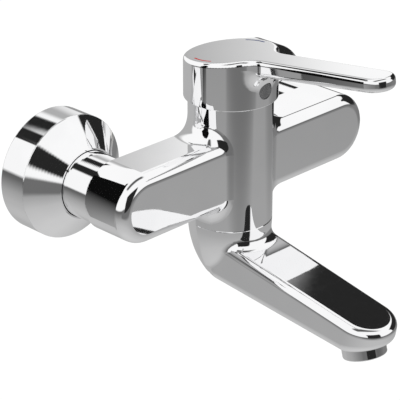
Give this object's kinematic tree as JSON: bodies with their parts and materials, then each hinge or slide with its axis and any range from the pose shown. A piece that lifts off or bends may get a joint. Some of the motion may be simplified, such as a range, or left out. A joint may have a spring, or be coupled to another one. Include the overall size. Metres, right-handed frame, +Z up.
{
  "type": "wall-mounted basin mixer tap",
  "caption": "Chrome single-lever basin mixer for a wall: a bar body on two unions with round wall flanges, a lever cap above and a swivel spout with an aerator below.",
  "frame": {"origin": "on the wall, midway between the two wall threads", "axes": "+X along the wall, to the right as seen from the room; +Y into the wall, along the wall threads; +Z up"},
  "size_m": [0.2188, 0.1946, 0.1621],
  "materials": {
    "chrome": "polished chrome plate",
    "brass": "machined brass",
    "rubber_seal": "moulded seal rubber",
    "ceramic": "lapped alumina ceramic",
    "cartridge_plastic": "moulded acetal",
    "slide_plastic": "moulded acetal",
    "steel": "plain stainless steel",
    "plug_grey": "moulded plastic, slightly rough",
    "aerator_plastic": "moulded plastic",
    "hot_red": "red enamel inlay",
    "cold_blue": "blue enamel inlay"
  },
  "bodies": {
    "root": {"body": "chrome", "left_union": "brass", "right_union": "brass", "left_flange": "chrome", "right_flange": "chrome", "left_union_nut": "chrome", "right_union_nut": "chrome", "left_filter_washer": "rubber_seal", "right_filter_washer": "rubber_seal", "left_inlet_tail": "brass", "right_inlet_tail": "brass", "cartridge_base": "cartridge_plastic", "port_seals": "rubber_seal", "disc_seals": "rubber_seal", "fixed_disc": "ceramic", "cartridge_housing": "cartridge_plastic", "clamp_nut": "brass", "shroud": "chrome", "swivel_nipple": "brass", "slide_rings": "slide_plastic", "spout_o_rings": "rubber_seal"},
    "guide": {"turning_guide": "cartridge_plastic", "pivot_pin": "steel"},
    "discs": {"moving_disc": "ceramic", "disc_carrier": "cartridge_plastic"},
    "lever": {"handle": "chrome", "stem": "brass", "handle_grub_screw": "steel", "index_plug": "plug_grey", "hot_mark": "hot_red", "cold_mark": "cold_blue"},
    "spout": {"spout": "chrome", "spout_lock_screw": "steel", "aerator_housing": "chrome", "aerator_insert": "aerator_plastic", "aerator_washer": "rubber_seal"}
  },
  "joints": [
    {"name": "spout_swivel", "type": "hinge", "parent": "root", "child": "spout", "pos_m": [0, -0.0629, -0.042], "axis": [0, 0, 1], "range_deg": [-110, 110]},
    {"name": "lever_turn", "type": "hinge", "parent": "root", "child": "guide", "pos_m": [0, -0.0629, 0.0396], "axis": [0, 0, 1], "range_deg": [-50, 50]},
    {"name": "lever_lift", "type": "hinge", "parent": "guide", "child": "lever", "pos_m": [0, -0.0629, 0.0396], "axis": [-1, 0, 0], "range_deg": [0, 22]},
    {"name": "disc_slide", "type": "slide", "parent": "guide", "child": "discs", "axis": [0, -1, 0], "range_m": [0, 0.00397]}
  ],
  "couplings": [
    {"joint": "disc_slide", "follows": "lever_lift", "m_per_rad": 0.010337}
  ]
}
